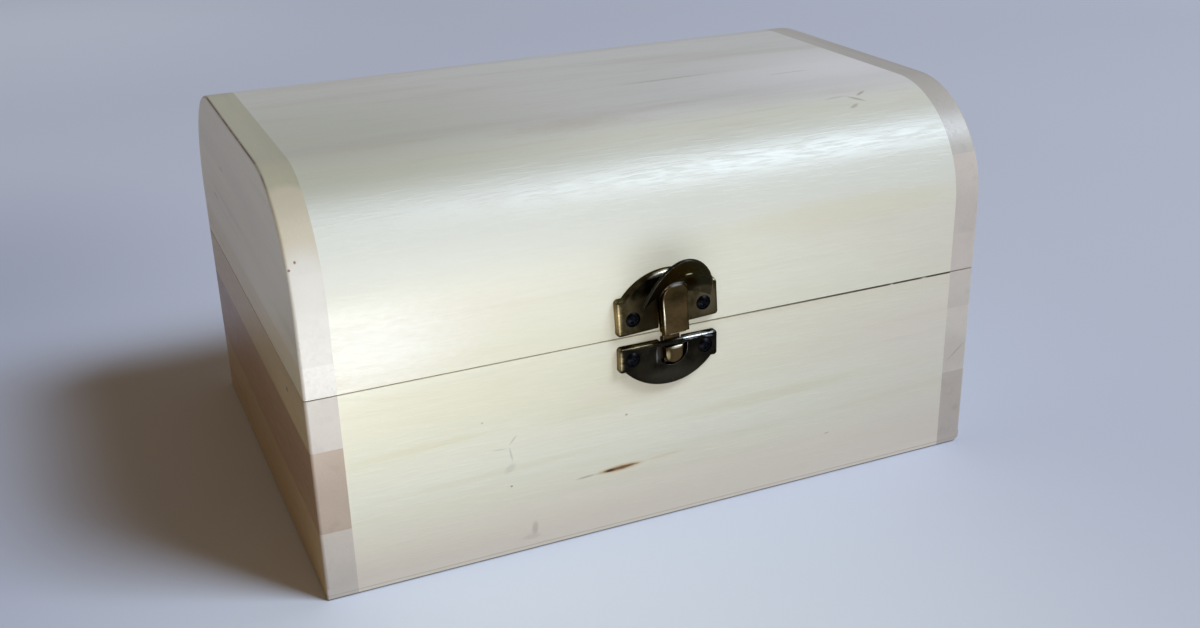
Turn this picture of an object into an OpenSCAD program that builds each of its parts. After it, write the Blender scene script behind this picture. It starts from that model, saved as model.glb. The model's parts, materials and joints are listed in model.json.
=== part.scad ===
// Wooden keepsake box with a sprung duckbill clasp.
// Millimetres. X runs along the box, Y from front to back, Z up.
// The origin is the middle of the underside.

/* [Box] */
// Length of the box
box_w = 180; // [140:1:240]
// Depth from front to back, without clasp and hinges
box_d = 131; // [110:1:180]
// Height with the lid shut
box_h = 99.5; // [92:0.5:120]
// Height of the base, up to the saw cut
base_h = 52; // [46:0.5:56]
// Gap that the saw cut leaves under the lid
lid_gap = 0.3; // [0.2:0.1:0.8]
// Thickness of the front, the back and the bent lid board
board_t = 4.5; // [4:0.25:6]
// Thickness of the end panels
end_t = 7.5; // [6:0.5:12]
// Thickness of the bottom board
bottom_t = 3; // [2:0.5:6]
// Straight height of the lid's front lip, below its round
front_lip = 18.7; // [17.5:0.1:22]
// Straight height of the lid's back lip, below its round
back_lip = 10.2; // [10:0.1:14]

/* [End panels] */
// Width of one stave
stave_w = 21; // [19:0.5:23]
// Height of the lowest glue joint in the left panel
left_joint = 18; // [14:0.5:19.5]
// Height of the lowest glue joint in the right panel
right_joint = 20.5; // [14:0.5:21]

/* [Clasp plate] */
// Middle of the clasp, from the middle of the box
clasp_x = -0.6; // [-10:0.1:10]
// How far out of level the plate was fitted, in degrees
clasp_tilt = 3; // [0:0.5:4]
// How far the plate sits to the left of the lever in it
plate_shift = 0.75; // [0:0.05:1]
// Height of the plate above the lid's lower edge
plate_raise = 1.3; // [1:0.05:1.6]
// Width of the plate
plate_w = 27; // [25:0.5:32]
// Height of the plate's square ears
plate_ear = 9.6; // [9:0.1:10.5]
// Height of the plate at the top of its round
plate_h = 14.8; // [14:0.1:16]
// Radius of the plate's round
plate_r = 15.2; // [14:0.1:16]
// How far the plate's face stands off the wood
plate_out = 1.8; // [1.7:0.1:2.2]
// Thickness of the stamped sheet
sheet_t = 0.8; // [0.6:0.05:1]
// Distance between the plate's two screws
plate_screws = 18.8; // [18.4:0.1:20.5]
// Height of those screws above the plate's lower edge
plate_screw_z = 4.1; // [3.5:0.1:4.5]

/* [Clasp lever] */
// Width of the raised tongue
tongue_w = 6.6; // [6:0.1:7.2]
// Height of the pivot above the plate's lower edge
pivot_z = 7; // [6.5:0.05:7.5]
// How far the pivot lies off the wood
pivot_out = 1.1; // [1.05:0.05:1.2]
// Diameter of the pivot pin
pivot_d = 0.9; // [0.7:0.05:1]
// Height of the crease in the tongue
crease_z = 8.9; // [8.4:0.05:9.4]
// How far the crease stands off the wood
crease_out = 4.4; // [4.2:0.1:4.6]
// How far the tongue's lower end stands off the wood
tongue_out = 4.8; // [4.5:0.1:5.4]
// Length of the tongue above its crease
tongue_top = 5.3; // [4.5:0.1:6]
// How far the tongue is raised above the bill
tongue_rise = 0.6; // [0.45:0.05:0.75]
// Width of the thumb bill where it is widest
bill_w = 18.6; // [16:0.2:19]
// Length of the bill above the crease
bill_l = 13.4; // [12:0.1:15]
// How far below the crease the bill's ellipse has its middle
bill_middle = 4.2; // [3.8:0.1:4.6]
// How far the bill reaches below the crease
bill_foot = 1.2; // [0.8:0.1:1.8]
// Depth to which the bill is dished where it is widest
bill_dish = 2.3; // [1.8:0.1:2.8]
// Thickness of the bill
bill_t = 0.7; // [0.5:0.05:0.9]
// Outward lean of the bill, in degrees
bill_lean = 35; // [30:1:40]
// Width of the neck below the tongue
neck_w = 4.4; // [4:0.1:4.8]
// Width of the catch that shows in the keeper's window
catch_w = 4.7; // [4.2:0.1:5.2]
// Height of the catch
catch_h = 4.4; // [4:0.1:4.8]
// How far the catch stands off the wood
catch_out = 2.5; // [2.3:0.1:2.7]
// Turn of the lever from shut to released, in degrees
lever_turn = 7.5; // [7:0.1:8]
// Wire of the coil spring
spring_wire = 0.4; // [0.3:0.05:0.45]
// Turns of the coil spring
spring_turns = 3; // [2:1:4]

/* [Clasp keeper] */
// Distance from the top of the base down to the keeper
keeper_drop = 2; // [1.8:0.1:3]
// How far the keeper sits to the left of the catch in it
keeper_shift = 0.8; // [0:0.05:1]
// Width of the keeper
keeper_w = 26.5; // [25:0.5:32]
// Height of the keeper's square ears
keeper_ear = 6.6; // [6.2:0.1:7.6]
// Height of the keeper down to the foot of its round
keeper_h = 11.8; // [11.4:0.1:13]
// Radius of the keeper's round
keeper_r = 15.4; // [14.5:0.1:17]
// How far the keeper's face stands off the wood
keeper_out = 1.9; // [1.8:0.1:2.2]
// Thickness of the keeper's sheet
keeper_t = 0.6; // [0.45:0.05:0.7]
// Height of the bridge above the keeper's window
bridge_h = 1.3; // [1:0.1:1.6]
// Room in the window on each side of the catch
keeper_side = 1.75; // [1.4:0.05:2]
// Distance between the keeper's two screws
keeper_screws = 19.5; // [18.5:0.1:21]
// Depth of those screws below the keeper's upper edge
keeper_screw_z = 3.3; // [2.9:0.1:3.8]

/* [Hinges] */
// Distance from the end of the box to the middle of a hinge
hinge_inset = 35; // [25:1:50]
// Width of a hinge
hinge_w = 22; // [18:0.5:28]
// Height of one leaf, from the pin
leaf_h = 9.5; // [8.5:0.1:9.8]
// Thickness of a leaf
leaf_t = 0.9; // [0.7:0.05:1.1]
// Outside diameter of the knuckles
knuckle_d = 3.8; // [3.4:0.1:4.4]
// Diameter of the hinge pin
hinge_pin_d = 1.8; // [1.4:0.1:2]
// Turn of the lid from shut to its stop, in degrees
lid_turn = 105; // [90:1:110]
// Length of the stop tail, from the pin
tail_l = 4.6; // [4:0.1:5]

/* [Screws] */
// Head diameter of the clasp screws
clasp_head_d = 3.8; // [3.2:0.1:4.2]
// Head height of the clasp screws
clasp_head_h = 0.9; // [0.7:0.1:1.1]
// Head diameter of the hinge screws
hinge_head_d = 3; // [2.6:0.1:3.2]
// Head height of the hinge screws
hinge_head_h = 0.6; // [0.5:0.1:0.8]
// Diameter of the screw shanks
shank_d = 1.6; // [1.2:0.1:1.7]
// Wood left beyond a screw's tip
tip_wall = 0.9; // [0.5:0.1:1.5]

/* [Clearances] */
// Running play of a pin in its bore, on the radius
pin_play = 0.05; // [0.03:0.01:0.08]
// Play of a pin in the bores that hold it, on the radius
pin_grip = 0.02; // [0.01:0.01:0.03]
// Play of a screw in its hole, on the radius
screw_play = 0.05; // [0.03:0.01:0.1]
// Play beside the lever and between knuckles
side_play = 0.3; // [0.2:0.05:0.4]
// Play between the catch and the bridge above it
catch_play = 0.3; // [0.25:0.05:0.4]
// Room in the wood behind the lever at full turn
pocket_play = 0.4; // [0.3:0.05:0.5]

/* [Hidden] */
$fn = 64;
overcut = 1;                        // how far a cutter runs past a face

// Colours
pale_wood = [0.86, 0.83, 0.74];
end_wood = [0.80, 0.72, 0.60];
bronze = [0.42, 0.35, 0.24];
brass = [0.60, 0.50, 0.28];
dark_bronze = [0.30, 0.28, 0.25];
dark_steel = [0.20, 0.20, 0.22];

// Box
front_y = -box_d / 2;
back_y = box_d / 2;
inner_w = box_w - 2 * end_t;
lid_z = base_h + lid_gap;
front_r = box_h - lid_z - front_lip;
back_r = box_h - lid_z - back_lip;
left_joints = [for (i = [0:3]) left_joint + i * stave_w];
right_joints = [for (i = [0:3]) right_joint + i * stave_w];
screw_reach = board_t - tip_wall;   // how far a screw goes into the wood

// Clasp plate, measured from the middle of its lower edge on the wood
plate_z = lid_z + plate_raise;
window_w = tongue_w + 2 * side_play;
window_top = pivot_z + pivot_d + side_play;
lug_w = 1;                          // width of the lugs that hold the pin
lug_h = 2.4;
pin_l = window_w + 2 * lug_w;

// Clasp lever, in the plate's measures
flange_t = 0.7;                     // sheet of the tongue's sides
ear_r = pivot_out - 0.2;            // ears that turn on the pin, clear of the wood
bill_play = 0.25;                   // bill to the face of the plate
bill_back = tongue_rise + bill_t;   // back of the bill, behind the tongue's face
bill_mid = tongue_rise + bill_t / 2;
dish_r = (pow(bill_w / 2, 2) + pow(bill_dish, 2)) / (2 * bill_dish);
tongue_end_z = -0.75;               // lower end of the tongue
keeper_top_z = base_h - keeper_drop - plate_z;
catch_top_z = keeper_top_z - bridge_h - catch_play;
catch_foot_z = catch_top_z - catch_h;
neck_back = 0.3;                    // the neck, measured off the wood
neck_front = keeper_out - keeper_t - catch_play;
neck_top_z = keeper_top_z + 1.2;
tongue_tip_z = crease_z + tongue_top * cos(bill_lean);
lever_reach = pivot_z - catch_foot_z;
pocket_depth = lever_reach * sin(lever_turn) - neck_back + pocket_play;
pocket_w = catch_w + 2 * side_play;
pocket_top_z = 1.5;

// Spring on the pivot pin
coil_r = pivot_d / 2 + 0.1 + spring_wire / 2;
coil_gap = 0.5;                     // between neighbouring turns
coil_pitch = spring_wire + coil_gap;
coil_rings = 8;                     // rings in a turn
coil_sides = 6;
coil_steps = (spring_turns + 0.5) * coil_rings;
leg_l = 3.2;                        // the two straight ends
leg_slant = 0.8;                    // lean of the end behind the tongue

// Clasp keeper, measured from the middle of its upper edge on the wood
keeper_z = base_h - keeper_drop;
keeper_window_w = catch_w + 2 * keeper_side;
keeper_window_foot = bridge_h + catch_play + catch_h + 0.6;
notch_w = neck_w + 2;

// Hinges, measured from the pin
hinge_x = box_w / 2 - hinge_inset;
pin_off = knuckle_d / 2 + 0.2;      // pin to the back of the box
pin_y = back_y + pin_off;
pin_z = base_h + lid_gap / 2;
knuckles = 5;
knuckle_pitch = hinge_w / knuckles;
leaf_cut = knuckle_d / 2 + 0.4;     // room round the other leaf's knuckles
hinge_screw_x = hinge_w / 2 - 4;
hinge_screw_z = tail_l + hinge_head_d / 2 + side_play;
stop_play = 0.1;                    // tail to leaf at the stop

// Draws a shape given as [out, up] across the box
module across(w) rotate([90, 0, -90]) linear_extrude(w, center = true) children();

// Draws a shape given as [across, up], from one distance off the wood to another
module stand_off(from, to) rotate([90, 0, 0]) translate([0, 0, from]) linear_extrude(to - from) children();

// Draws a shape given as [back, up] along the box
module along(from, to) translate([from, 0, 0]) rotate([90, 0, 90]) linear_extrude(to - from) children();

// Outer outline of the shut lid, drawn in by an inset
module lid_outline(inset = 0) {
    left = front_y + inset;
    right = back_y - inset;
    top = box_h - inset;
    difference() {
        translate([left, lid_z]) square([right - left, top - lid_z]);
        corner_cut(left, top, front_r - inset, 1);
        corner_cut(right, top, back_r - inset, -1);
    }
}

// What the round takes off a square corner
module corner_cut(x, y, r, side) {
    difference() {
        translate([side > 0 ? x - overcut : x - r, y - r]) square([r + overcut, r + overcut]);
        translate([x + side * r, y - r]) circle(r);
    }
}

// Stamped plate: square ears and a round, drawn in by an inset
module plate_outline(w, ear, h, r, inset = 0) {
    translate([-w / 2 + inset, inset]) square([w - 2 * inset, ear - 2 * inset]);
    intersection() {
        translate([0, h - r]) circle(r - inset);
        translate([-w / 2 + inset, inset]) square([w - 2 * inset, h]);
    }
}

// Where the clasp plate and its lever sit on the lid
module on_lid_front() translate([clasp_x, front_y, plate_z]) rotate([0, -clasp_tilt, 0]) children();

// Where the keeper sits on the base
module on_base_front() translate([clasp_x, front_y, keeper_z]) children();

// The two screw places of a clasp plate
module screw_pair(spacing, z) for (side = [-1, 1]) translate([side * spacing / 2, 0, z]) children();

// The screw places of the plate on the lid
module plate_screw_places() {
    translate([-plate_shift, 0, 0]) screw_pair(plate_screws, plate_screw_z) children();
}

// The screw places of the keeper on the base
module keeper_screw_places() {
    translate([-keeper_shift, 0, 0]) screw_pair(keeper_screws, -keeper_screw_z) children();
}

// The four screw places of the hinges, up the lid or down the base
module hinge_screw_places(up) {
    for (x = [-hinge_x, hinge_x], side = [-1, 1])
        translate([x + side * hinge_screw_x, back_y, pin_z + up * hinge_screw_z]) children();
}

// Screw with its head on a face that stands off the wood, pointing along +Y
module wood_screw(face, head_d, head_h) {
    slot_w = head_d / 6;
    slot_l = head_d * 0.62;
    slot_h = head_h * 0.6;
    dome_r = (pow(head_d / 2, 2) + pow(head_h, 2)) / (2 * head_h);
    rotate([-90, 0, 0]) difference() {
        union() {
            translate([0, 0, -face]) cylinder(h = face + screw_reach, d = shank_d);
            translate([0, 0, -face - head_h]) intersection() {
                cylinder(h = head_h, d = head_d);
                translate([0, 0, dome_r]) sphere(dome_r);
            }
        }
        for (turn = [0, 90]) rotate([0, 0, turn])
            translate([-slot_l / 2, -slot_w / 2, -face - head_h - overcut]) cube([slot_l, slot_w, slot_h + overcut]);
    }
}

// Hole for a screw, through a plate and into the wood
module screw_hole() {
    rotate([90, 0, 0]) cylinder(h = 2 * (screw_reach + screw_play), d = shank_d + 2 * screw_play, center = true);
}

// Room for the neck of the lever behind the clasp
module clasp_pocket() {
    on_lid_front() translate([-pocket_w / 2, -overcut, catch_foot_z - pocket_play])
        cube([pocket_w, pocket_depth + overcut, pocket_top_z - catch_foot_z + pocket_play]);
}

module base_bottom() {
    color(pale_wood) translate([-box_w / 2, front_y, 0]) cube([box_w, box_d, bottom_t]);
}

module base_front() {
    color(pale_wood) difference() {
        translate([-inner_w / 2, front_y, bottom_t]) cube([inner_w, board_t, base_h - bottom_t]);
        clasp_pocket();
        on_base_front() keeper_screw_places() screw_hole();
    }
}

module base_back() {
    color(pale_wood) difference() {
        translate([-inner_w / 2, back_y - board_t, bottom_t]) cube([inner_w, board_t, base_h - bottom_t]);
        hinge_screw_places(-1) screw_hole();
    }
}

// One stave of an end panel below the saw cut
module base_stave(side, low, high) {
    color(end_wood) translate([side > 0 ? box_w / 2 - end_t : -box_w / 2, front_y, low])
        cube([end_t, box_d, high - low]);
}

// One stave of an end panel above the saw cut
module lid_stave(side, low, high) {
    from = side > 0 ? box_w / 2 - end_t : -box_w / 2;
    color(end_wood) along(from, from + end_t) intersection() {
        lid_outline();
        translate([front_y, low]) square([box_d, high - low]);
    }
}

module base_left_stave_1() base_stave(-1, bottom_t, left_joints[0]);
module base_left_stave_2() base_stave(-1, left_joints[0], left_joints[1]);
module base_left_stave_3() base_stave(-1, left_joints[1], base_h);
module base_right_stave_1() base_stave(1, bottom_t, right_joints[0]);
module base_right_stave_2() base_stave(1, right_joints[0], right_joints[1]);
module base_right_stave_3() base_stave(1, right_joints[1], base_h);
module lid_left_stave_1() lid_stave(-1, lid_z, left_joints[2]);
module lid_left_stave_2() lid_stave(-1, left_joints[2], left_joints[3]);
module lid_left_stave_3() lid_stave(-1, left_joints[3], box_h);
module lid_right_stave_1() lid_stave(1, lid_z, right_joints[2]);
module lid_right_stave_2() lid_stave(1, right_joints[2], right_joints[3]);
module lid_right_stave_3() lid_stave(1, right_joints[3], box_h);

module lid_skin() {
    color(pale_wood) difference() {
        along(-inner_w / 2, inner_w / 2) difference() {
            lid_outline();
            lid_outline(board_t);
        }
        clasp_pocket();
        on_lid_front() plate_screw_places() screw_hole();
        hinge_screw_places(1) screw_hole();
    }
}

module clasp_plate() {
    color(bronze) on_lid_front() difference() {
        union() {
            translate([-plate_shift, 0, 0]) difference() {
                stand_off(0, plate_out) plate_outline(plate_w, plate_ear, plate_h, plate_r);
                stand_off(-overcut, plate_out - sheet_t)
                    plate_outline(plate_w, plate_ear, plate_h, plate_r, sheet_t);
            }
            for (side = [-1, 1]) translate([side * (window_w + lug_w) / 2, 0, pivot_z])
                stand_off(pivot_out - ear_r, plate_out) square([lug_w, lug_h], center = true);
        }
        stand_off(-overcut, plate_out + overcut) translate([-window_w / 2, -overcut])
            square([window_w, window_top + overcut]);
        pivot_bore(pin_grip);
        plate_screw_places() screw_hole();
    }
}

// Round bore on the pivot of the lever
module pivot_bore(play) {
    translate([0, -pivot_out, pivot_z]) rotate([0, 90, 0])
        cylinder(h = pin_l + 2 * overcut, d = pivot_d + 2 * play, center = true);
}

module clasp_plate_screws() {
    color(dark_steel) on_lid_front() plate_screw_places() wood_screw(plate_out, clasp_head_d, clasp_head_h);
}

// Front outline of the tongue with its round top
module tongue_outline() {
    r = tongue_w / 2;
    translate([-r, tongue_end_z]) square([tongue_w, tongue_tip_z - r - tongue_end_z]);
    translate([0, tongue_tip_z - r]) circle(r);
}

// Point on the leaning upper part of the lever, given along it from the crease and out from the tongue's face
function on_bill(along, out) = [crease_out + along * sin(bill_lean) + out * cos(bill_lean),
    crease_z + along * cos(bill_lean) - out * sin(bill_lean)];

// Raised face of the tongue, bent at its crease
module tongue() {
    intersection() {
        across(tongue_w) polygon([[crease_out, crease_z], [tongue_out, tongue_end_z],
            [tongue_out - flange_t, tongue_end_z], [crease_out - flange_t, crease_z - flange_t],
            on_bill(0, -bill_mid), on_bill(tongue_top, -bill_mid), on_bill(tongue_top, 0)]);
        stand_off(0, 2 * crease_out) tongue_outline();
    }
}

// One side of the tongue, with the ear that turns on the pin
module tongue_side() {
    across(flange_t) {
        polygon([[crease_out, crease_z], [tongue_out, tongue_end_z], [neck_front + flange_t, tongue_end_z],
            [pivot_out, pivot_z - ear_r], [pivot_out, pivot_z + ear_r],
            [plate_out + bill_play, pivot_z + ear_r], on_bill(0, -bill_mid)]);
        translate([pivot_out, pivot_z]) circle(ear_r);
    }
}

// Neck that runs in behind the bridge, with the catch on its end
module neck() {
    across(neck_w) polygon([[tongue_out, tongue_end_z], [neck_front, neck_top_z], [neck_front, catch_foot_z],
        [neck_back, catch_foot_z], [neck_back, neck_top_z + flange_t],
        [tongue_out - flange_t, tongue_end_z + flange_t]]);
    stand_off(neck_back, catch_out) {
        r = catch_w / 2;
        translate([-r, catch_foot_z + r]) square([catch_w, catch_h - r]);
        translate([0, catch_foot_z + r]) circle(r);
    }
}

// Thumb bill, a dished half-ellipse of sheet that leans outward, clear of the plate
module bill() {
    h = bill_foot + bill_l;
    reach = crease_z + bill_l;
    intersection() {
        translate([0, -crease_out, crease_z]) rotate([bill_lean, 0, 0]) intersection() {
            translate([0, tongue_rise - dish_r, -bill_foot]) difference() {
                cylinder(h = h, r = dish_r + bill_t, $fn = 192);
                translate([0, 0, -overcut]) cylinder(h = h + 2 * overcut, r = dish_r, $fn = 192);
            }
            stand_off(-bill_back, bill_dish) translate([0, -bill_middle])
                scale([1, 2 * (bill_middle + bill_l) / bill_w]) circle(bill_w / 2, $fn = 96);
        }
        stand_off(plate_out + bill_play, reach) translate([-bill_w / 2, 0]) square([bill_w, reach]);
    }
}

module clasp_lever() {
    color(brass) on_lid_front() difference() {
        union() {
            tongue();
            for (side = [-1, 1]) translate([side * (tongue_w - flange_t) / 2, 0, 0]) tongue_side();
            neck();
            bill();
        }
        pivot_bore(pin_play);
    }
}

module clasp_pin() {
    color(dark_steel) on_lid_front() translate([0, -pivot_out, pivot_z]) rotate([0, 90, 0])
        cylinder(h = pin_l, d = pivot_d, center = true);
}

// Middle line of the spring: one straight end, the coil and the other straight end
function coil_point(i) = let (turn = 360 * i / coil_rings - 90)
    [(i / coil_rings - (spring_turns + 0.5) / 2) * coil_pitch, -coil_r * sin(turn), coil_r * cos(turn)];
spring_line = concat([coil_point(0) + [0, 0, -leg_l]], [for (i = [0:coil_steps]) coil_point(i)],
    [coil_point(coil_steps) + [0, -leg_slant, -leg_l]]);

function unit(v) = v / norm(v);

// Ring of corners round one point of a line
function ring(line, i, r, sides) = let (
    ahead = line[min(i + 1, len(line) - 1)],
    behind = line[max(i - 1, 0)],
    way = unit(ahead - behind),
    side = unit(cross(way, [1, 0, 0])),
    up = cross(side, way))
    [for (k = [0:sides - 1]) line[i] + r * (side * cos(360 * k / sides) + up * sin(360 * k / sides))];

// Closed tube of even thickness along a line
module tube(line, r, sides) {
    n = len(line);
    points = [for (i = [0:n - 1]) each ring(line, i, r, sides)];
    walls = [for (i = [0:n - 2], k = [0:sides - 1]) let (
        a = i * sides + k, b = i * sides + (k + 1) % sides)
        each [[a, a + sides, b], [b, a + sides, b + sides]]];
    ends = [[for (k = [0:sides - 1]) k], [for (k = [0:sides - 1]) n * sides - 1 - k]];
    polyhedron(points, concat(walls, ends));
}

module clasp_spring() {
    color(dark_steel) on_lid_front() translate([0, -pivot_out, pivot_z])
        tube(spring_line, spring_wire / 2, coil_sides);
}

module clasp_keeper() {
    window_r = keeper_window_w / 2;
    color(dark_bronze) on_base_front() difference() {
        mirror([0, 0, 1]) difference() {
            translate([-keeper_shift, 0, 0]) difference() {
                stand_off(0, keeper_out) plate_outline(keeper_w, keeper_ear, keeper_h, keeper_r);
                stand_off(-overcut, keeper_out - keeper_t)
                    plate_outline(keeper_w, keeper_ear, keeper_h, keeper_r, keeper_t);
            }
            stand_off(-overcut, keeper_out + overcut) {
                translate([-window_r, bridge_h])
                    square([keeper_window_w, keeper_window_foot - window_r - bridge_h]);
                translate([0, keeper_window_foot - window_r]) circle(window_r);
            }
            stand_off(-overcut, keeper_out - keeper_t) translate([-notch_w / 2, -overcut])
                square([notch_w, bridge_h + overcut]);
        }
        keeper_screw_places() screw_hole();
    }
}

module clasp_keeper_screws() {
    color(dark_steel) on_base_front() keeper_screw_places() wood_screw(keeper_out, clasp_head_d, clasp_head_h);
}

// Round bar along one knuckle's share of a hinge
module knuckle(i, d, grow = 0) {
    translate([(i - knuckles / 2) * knuckle_pitch + side_play / 2 - grow, 0, 0]) rotate([0, 90, 0])
        cylinder(h = knuckle_pitch - side_play + 2 * grow, d = d);
}

// Straight tail of a rolled knuckle, which meets the base leaf when the lid is at its stop
module stop_tail(i) {
    w = knuckle_pitch - side_play;
    rotate([lid_turn, 0, 0])
        translate([(i - knuckles / 2) * knuckle_pitch + side_play / 2, leaf_t - pin_off + stop_play, -tail_l])
            cube([w, leaf_t, tail_l]);
}

// One leaf of a hinge, with every second knuckle
module hinge_leaf(up, first, play) {
    difference() {
        union() {
            translate([-hinge_w / 2, -pin_off, up > 0 ? 0 : -leaf_h]) cube([hinge_w, leaf_t, leaf_h]);
            for (i = [first:2:knuckles - 1]) {
                knuckle(i, knuckle_d);
                if (up > 0) stop_tail(i);
            }
        }
        for (i = [1 - first:2:knuckles - 1]) knuckle(i, 2 * leaf_cut, side_play / 2);
        for (i = [first:2:knuckles - 1]) knuckle(i, hinge_pin_d + 2 * play, side_play);
        for (side = [-1, 1]) translate([side * hinge_screw_x, -pin_off, up * hinge_screw_z]) screw_hole();
    }
}

// Where a hinge sits, with its pin on the X axis
module at_hinge(side) translate([side * hinge_x, pin_y, pin_z]) children();

module base_leaf(side) color(bronze) at_hinge(side) hinge_leaf(-1, 0, pin_grip);
module lid_leaf(side) color(bronze) at_hinge(side) hinge_leaf(1, 1, pin_play);
module hinge_pin(side) {
    color(dark_steel) at_hinge(side) rotate([0, 90, 0]) cylinder(h = hinge_w, d = hinge_pin_d, center = true);
}
module hinge_left_base_leaf() base_leaf(-1);
module hinge_left_lid_leaf() lid_leaf(-1);
module hinge_left_pin() hinge_pin(-1);
module hinge_right_base_leaf() base_leaf(1);
module hinge_right_lid_leaf() lid_leaf(1);
module hinge_right_pin() hinge_pin(1);

// Four hinge screws, driven from behind
module hinge_screws(up) {
    color(dark_steel) hinge_screw_places(up) rotate([0, 0, 180]) wood_screw(leaf_t, hinge_head_d, hinge_head_h);
}
module hinge_base_screws() hinge_screws(-1);
module hinge_lid_screws() hinge_screws(1);

base_bottom();
base_front();
base_back();
base_left_stave_1();
base_left_stave_2();
base_left_stave_3();
base_right_stave_1();
base_right_stave_2();
base_right_stave_3();
lid_skin();
lid_left_stave_1();
lid_left_stave_2();
lid_left_stave_3();
lid_right_stave_1();
lid_right_stave_2();
lid_right_stave_3();
clasp_plate();
clasp_plate_screws();
clasp_lever();
clasp_pin();
clasp_spring();
clasp_keeper();
clasp_keeper_screws();
hinge_left_base_leaf();
hinge_left_lid_leaf();
hinge_left_pin();
hinge_right_base_leaf();
hinge_right_lid_leaf();
hinge_right_pin();
hinge_base_screws();
hinge_lid_screws();
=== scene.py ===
import json
import math

import bmesh
import bpy
from mathutils import Matrix, Vector


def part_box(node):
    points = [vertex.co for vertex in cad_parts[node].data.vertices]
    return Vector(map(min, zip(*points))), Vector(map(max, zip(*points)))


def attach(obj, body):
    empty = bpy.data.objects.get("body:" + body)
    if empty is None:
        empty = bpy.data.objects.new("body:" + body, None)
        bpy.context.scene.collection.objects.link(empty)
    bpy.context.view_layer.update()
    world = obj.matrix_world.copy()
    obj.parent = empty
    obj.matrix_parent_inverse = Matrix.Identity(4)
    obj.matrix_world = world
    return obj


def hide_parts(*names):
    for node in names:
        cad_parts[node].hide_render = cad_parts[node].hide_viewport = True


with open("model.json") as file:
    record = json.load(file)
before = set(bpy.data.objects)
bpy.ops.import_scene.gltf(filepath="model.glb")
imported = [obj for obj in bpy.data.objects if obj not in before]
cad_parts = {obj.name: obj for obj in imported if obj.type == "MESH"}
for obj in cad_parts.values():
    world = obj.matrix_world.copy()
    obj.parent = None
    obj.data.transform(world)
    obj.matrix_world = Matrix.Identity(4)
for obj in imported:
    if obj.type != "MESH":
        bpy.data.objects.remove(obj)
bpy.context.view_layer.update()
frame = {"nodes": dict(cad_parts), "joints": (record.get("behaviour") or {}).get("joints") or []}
scene = bpy.context.scene
mm = 0.001
same = 1e-6  # places closer than this count as one


def inMm(**sizes):  # sizes are written in mm and kept in metres
    return {name: size * mm for name, size in sizes.items()}


# shader helpers

def put(value, socket):
    if isinstance(value, bpy.types.NodeSocket):
        socket.id_data.links.new(value, socket)
    else:
        socket.default_value = value


def newNode(kind, given, **settings):  # made in the tree that its given sockets are in
    tree = next(value.id_data for value in given.values() if isinstance(value, bpy.types.NodeSocket))
    made = tree.nodes.new(kind)
    for name, value in settings.items():
        setattr(made, name, value)
    for name, value in given.items():
        put(value, made.inputs[name])
    return made


def calc(operation, first, second=0.0):
    return newNode("ShaderNodeMath", {0: first, 1: second}, operation=operation).outputs[0]


def times(first, *others):
    for other in others:
        first = calc("MULTIPLY", first, other)
    return first


def apart(first, second):
    return calc("ABSOLUTE", calc("SUBTRACT", first, second))


def combine(operation, first, second):
    made = newNode("ShaderNodeVectorMath", {0: first, 1: second}, operation=operation)
    return made.outputs["Value" if operation in ("LENGTH", "DOT_PRODUCT") else "Vector"]


def mixColour(factor, first, second, blend="MIX"):
    given = {0: factor, 6: first, 7: second}
    return newNode("ShaderNodeMix", given, data_type="RGBA", blend_type=blend).outputs[2]


def ramp(value, low, high, toLow=0.0, toHigh=1.0):
    given = dict(enumerate((value, low, high, toLow, toHigh)))
    return newNode("ShaderNodeMapRange", given, interpolation_type="SMOOTHSTEP").outputs[0]


def noise(coords, stretch, offset=(0, 0, 0), detail=2.0, rough=0.5, colour=False):
    place = newNode("ShaderNodeMapping", {"Vector": coords, "Location": offset, "Scale": stretch}).outputs[0]
    given = {"Vector": place, "Scale": 1.0, "Detail": detail, "Roughness": rough}
    return newNode("ShaderNodeTexNoise", given).outputs[1 if colour else 0]


def newMaterial(name):
    mat = bpy.data.materials.new(name)
    mat.use_nodes = True
    nodes = mat.node_tree.nodes
    return mat, nodes["Principled BSDF"], nodes.new("ShaderNodeTexCoord").outputs["Object"]


def bump(shader, height, strength, distance):
    made = newNode("ShaderNodeBump", {"Strength": strength, "Distance": distance, "Height": height})
    put(made.outputs[0], shader.inputs["Normal"])
    return made


def split(coords):
    return newNode("ShaderNodeSeparateXYZ", {0: coords}).outputs


def broken(coords, look, rough=0.6):  # a torn pattern that sets in between two values of the noise
    drawn = noise(coords, look["grain"], look["offset"], look["detail"], rough)
    return ramp(drawn, look["from"], look["to"], 0, look.get("share", 1.0))


# marks: stains and wear, and painted light and shade

raggedEdge = {"stretch": (350, 350, 1600), "detail": 3, "rough": 0.6}


def mark(tone, share, at, reach, **more):  # at and reach in mm, turn and swing in degrees
    plain = {"turn": 0, "swing": 0, "core": 0.3}
    return {"tone": tone, "share": share, "at": at, "reach": reach, **plain, **more}


def paintStainsAndLight(coords, colour, marks, tones):  # each mark is full in its core and soft at its rim
    for spot in marks:
        turned = (0, math.radians(spot["turn"]), math.radians(spot["swing"]))
        given = {"Location": Vector(spot["at"]) * mm, "Rotation": turned, "Scale": Vector(spot["reach"]) * mm}
        place = newNode("ShaderNodeMapping", {"Vector": coords, **given}, vector_type="TEXTURE")
        far = combine("LENGTH", place.outputs[0], (0, 0, 0))
        if "ragged" in spot:
            edge = noise(coords, **raggedEdge)
            far = calc("ADD", far, times(calc("SUBTRACT", edge, 0.5), spot["ragged"]))
        share = ramp(far, 1.0, spot["core"], 0, spot["share"])
        colour = mixColour(share, colour, tones[spot["tone"]])
    return colour


# wood finishes

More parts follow.
